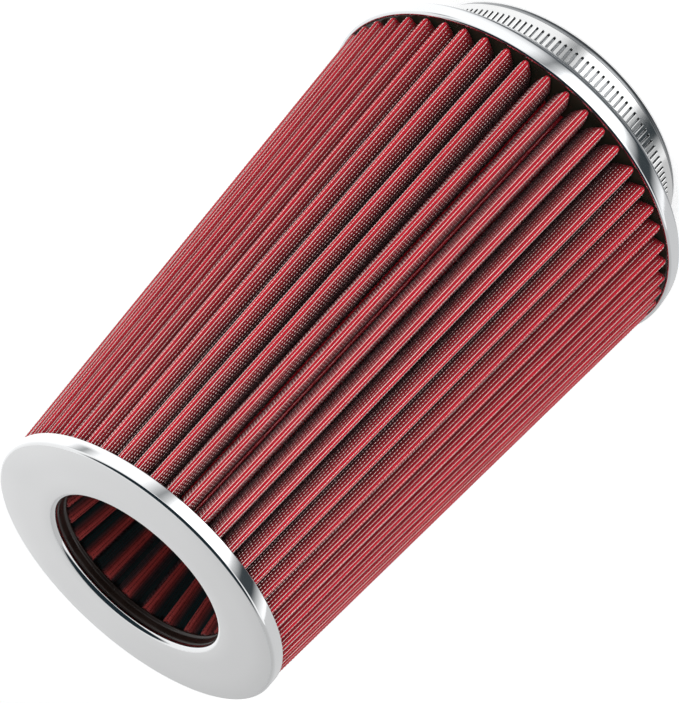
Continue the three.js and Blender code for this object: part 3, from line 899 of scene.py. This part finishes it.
# ---- Assembly --------------------------------------------------------------------------
warp_wire = screen_wire("warp_wire", 0.88, 0.72, 0.70, 0.24)
# painted shade: the weft is a darker, redder copy of the warp's wire
shaded_weft_wire = screen_wire("shaded_weft_wire", 0.70, 0.33, 0.35, 0.28)
# painted shade: the fourth colour darkens the flanks of the folds; painted light: the fifth makes
# their floors a brighter red
cotton = oiled_cotton("oiled_cotton", rgb(0.76, 0.006, 0.028), rgb(0.20, 0.002, 0.006),
                      rgb(0.042, 0.010, 0.010), rgb(0.60, 0.006, 0.020), 0.4)
# painted shade: the cone's wire is a near-black copy of the screen wire
shaded_cone_wire = screen_wire("shaded_cone_wire", 0.10, 0.03, 0.03, 0.50)
# painted shade: the cone inside the hole gets darker, browner copies of the cotton, and teal-black
# flanks and floors in its folds
cone_painted_shade = rgb(0.012, 0.028, 0.030)
shaded_cone_cotton = oiled_cotton("shaded_cone_cotton", rgb(0.36, 0.045, 0.042), rgb(0.22, 0.024, 0.022),
                           cone_painted_shade, cone_painted_shade, 0.5)
chrome = polished_chrome()
cap_chrome = satin_chrome()
resin = cast_resin("cast_resin", rgb(0.009, 0.006, 0.005), rgb(0.026, 0.017, 0.014))
base_resin = cast_resin("base_resin", rgb(0.014, 0.015, 0.011), rgb(0.045, 0.042, 0.028))
tin = tinned_sheet()
clamp_steel = strip_steel()

build_packs(cotton, warp_wire, shaded_weft_wire, screen_sheet(), shaded_cone_cotton, shaded_cone_wire)
build_cap(cap_chrome, resin)
build_base(chrome, base_resin)
build_neck(sleeve_steel(), black_rubber())
build_tip(tin, resin)
build_clamp(clamp_steel, zinc_plate())

for node, material in (("outer_seam_strip", tin), ("cone_seam_strip", tin),
                       ("clamp_saddle", clamp_steel)):
    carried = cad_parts[node]
    carried.data.materials.clear()
    carried.data.materials.append(material)


# ---- Studio ----------------------------------------------------------------------------
def smooth_gap(n, value, middle, half_width, soft):
    """1 inside a range of angles and 0 outside it, with soft sides."""
    away = n.math("ABSOLUTE", n.math("SUBTRACT", value, middle))
    return n.remap(away, 1, 0, (half_width - soft, half_width + soft))


class SkyNodes(Nodes):
    """The same short names for a world's node tree."""

    def __init__(self, world):
        world.use_nodes = True
        self.tree = world.node_tree
        self.shader = self.tree.nodes["Background"]


SKY_STRENGTH = 1.0
LIGHT_BY_HEIGHT = (1.15, 0.93, (-25, 25))  # the panels' light between two elevations
LIGHT_BY_AZIMUTH = (1.0, 0.56, (86.5, 96))  # and as a share of it between two azimuths
MOUTH_WAY = (0.0, -0.45, 0.893)  # toward the dark mouth of the tent
MOUTH_EDGE = (0.50, 0.64)  # cosines where the mouth begins and where it is fully dark
# Azimuth, half width, softness and lower end of each gap between panels, in degrees.
PANEL_GAPS = ((-68, 5, 9, -90), (-151, 16, 9, -90), (-4, 4, 9, -29))
GAP_DEPTH = 0.97
PANEL_TOP = (-10, 5)  # elevations over which the gaps and the front panel end
FRONT_PANEL = (-104, 26, 4)  # azimuth, half width and softness of a brighter panel
FRONT_LIGHT = rgb(1.8, 1.8, 1.8)
UNDER_LIGHT = rgb(0.13, 0.14, 0.15)
UNDER_EDGE = (-44, -62)  # elevations where that begins and where it is complete
GAP_LIGHT = rgb(0.012, 0.022, 0.028)  # in the gaps and the mouth


def build_sky():
    """A light tent: white all round, with three dark gaps between its panels and a dark
    mouth overhead, on the camera's side. It is dimmer at the back left and underneath."""
    world = bpy.data.worlds.new("light_tent")
    bpy.context.scene.world = world
    n = SkyNodes(world)
    way = n.add("ShaderNodeTexCoord").outputs["Generated"]
    parts = n.add("ShaderNodeSeparateXYZ", {"Vector": way}).outputs
    around = n.math("MULTIPLY", n.math("ARCTAN2", parts["Y"], parts["X"]), 180 / math.pi)
    height = n.math("MULTIPLY", n.math("ARCSINE", parts["Z"]), 180 / math.pi)
    toward = n.add("ShaderNodeVectorMath", {0: way, 1: MOUTH_WAY},
                   operation="DOT_PRODUCT").outputs["Value"]
    dark = n.remap(toward, 0, 1, MOUTH_EDGE)
    low = n.remap(height, 1, 0, PANEL_TOP)
    for middle, half_width, soft, lowest in PANEL_GAPS:
        gap = n.math("MULTIPLY", smooth_gap(n, around, middle, half_width, soft), low)
        gap = n.math("MULTIPLY", gap, n.remap(height, 0, GAP_DEPTH, (lowest - 2, lowest + 2)))
        dark = n.math("MAXIMUM", dark, gap)
    panels = n.math("MULTIPLY", n.remap(height, *LIGHT_BY_HEIGHT),
                    n.remap(around, *LIGHT_BY_AZIMUTH))
    front = n.math("MULTIPLY", smooth_gap(n, around, *FRONT_PANEL), low)
    panels = n.mix(front, panels, FRONT_LIGHT)
    under = n.remap(height, 0, 1, UNDER_EDGE)
    panels = n.mix(under, panels, UNDER_LIGHT)
    n.link(n.mix(dark, panels, GAP_LIGHT), "Color")
    n.shader.inputs["Strength"].default_value = SKY_STRENGTH


def build_floor():
    floor_mesh = bpy.data.meshes.new("floor")
    half = 6.0
    floor_mesh.from_pydata([(-half, -half, 0), (half, -half, 0), (half, half, 0),
                            (-half, half, 0)], [], [(0, 1, 2, 3)])
    floor = bpy.data.objects.new("floor", floor_mesh)
    bpy.context.scene.collection.objects.link(floor)
    pale = Nodes("pale_floor", Roughness=0.9)
    pale.shader.inputs["Base Color"].default_value = rgb(0.93, 0.93, 0.93)
    pale.shader.inputs["Emission Color"].default_value = rgb(1.0, 1.0, 1.0)
    pale.shader.inputs["Emission Strength"].default_value = 0.6
    floor_mesh.materials.append(pale.material)
    floor.visible_glossy = False


def soft_lamp(name, place, aim, size, power):
    """An area lamp that lights the cloth but leaves the tent's reflections alone."""
    lamp = bpy.data.lights.new(name, "AREA")
    lamp.shape = "RECTANGLE"
    lamp.size, lamp.size_y = size
    lamp.energy = power
    holder = bpy.data.objects.new(name, lamp)
    holder.location = place
    holder.rotation_mode = "QUATERNION"
    holder.rotation_quaternion = (Vector(aim) - Vector(place)).to_track_quat("-Z", "Y")
    holder.visible_glossy = False
    bpy.context.scene.collection.objects.link(holder)


CAMERA_PLACE = (-0.0004, -1.1149, 0.7202)  # in metres
CAMERA_WAY = (0, 0.884, -0.467)
CAMERA_TOP = (0.675, -0.345, -0.652)  # the way that is up in the picture
CAMERA_LENS = 182.2  # in mm, on a sensor 36 mm wide


def build_camera():
    """Looks down at the standing filter, rolled so that its cap is at the lower left."""
    lens = bpy.data.cameras.new("camera")
    lens.lens = CAMERA_LENS
    lens.sensor_width = 36
    lens.clip_end = 100
    camera = bpy.data.objects.new("camera", lens)
    forward = Vector(CAMERA_WAY).normalized()
    up = Vector(CAMERA_TOP)
    right = forward.cross(up).normalized()
    up = right.cross(forward)
    turn = Matrix((right, up, -forward)).transposed().to_4x4()
    camera.matrix_world = Matrix.Translation(CAMERA_PLACE) @ turn
    bpy.context.scene.collection.objects.link(camera)
    bpy.context.scene.camera = camera


build_sky()
build_floor()
middle = Vector((0, 0, 0.13))
soft_lamp("left", (-1.3, -0.5, 0.5), middle, (0.8, 1.2), 8)
soft_lamp("right", (1.3, -0.5, 0.5), middle, (0.8, 1.2), 6)
soft_lamp("fill", (0.1, -1.1, 0.95), middle, (0.4, 0.4), 5)
build_camera()
bpy.context.scene.view_settings.view_transform = "Standard"
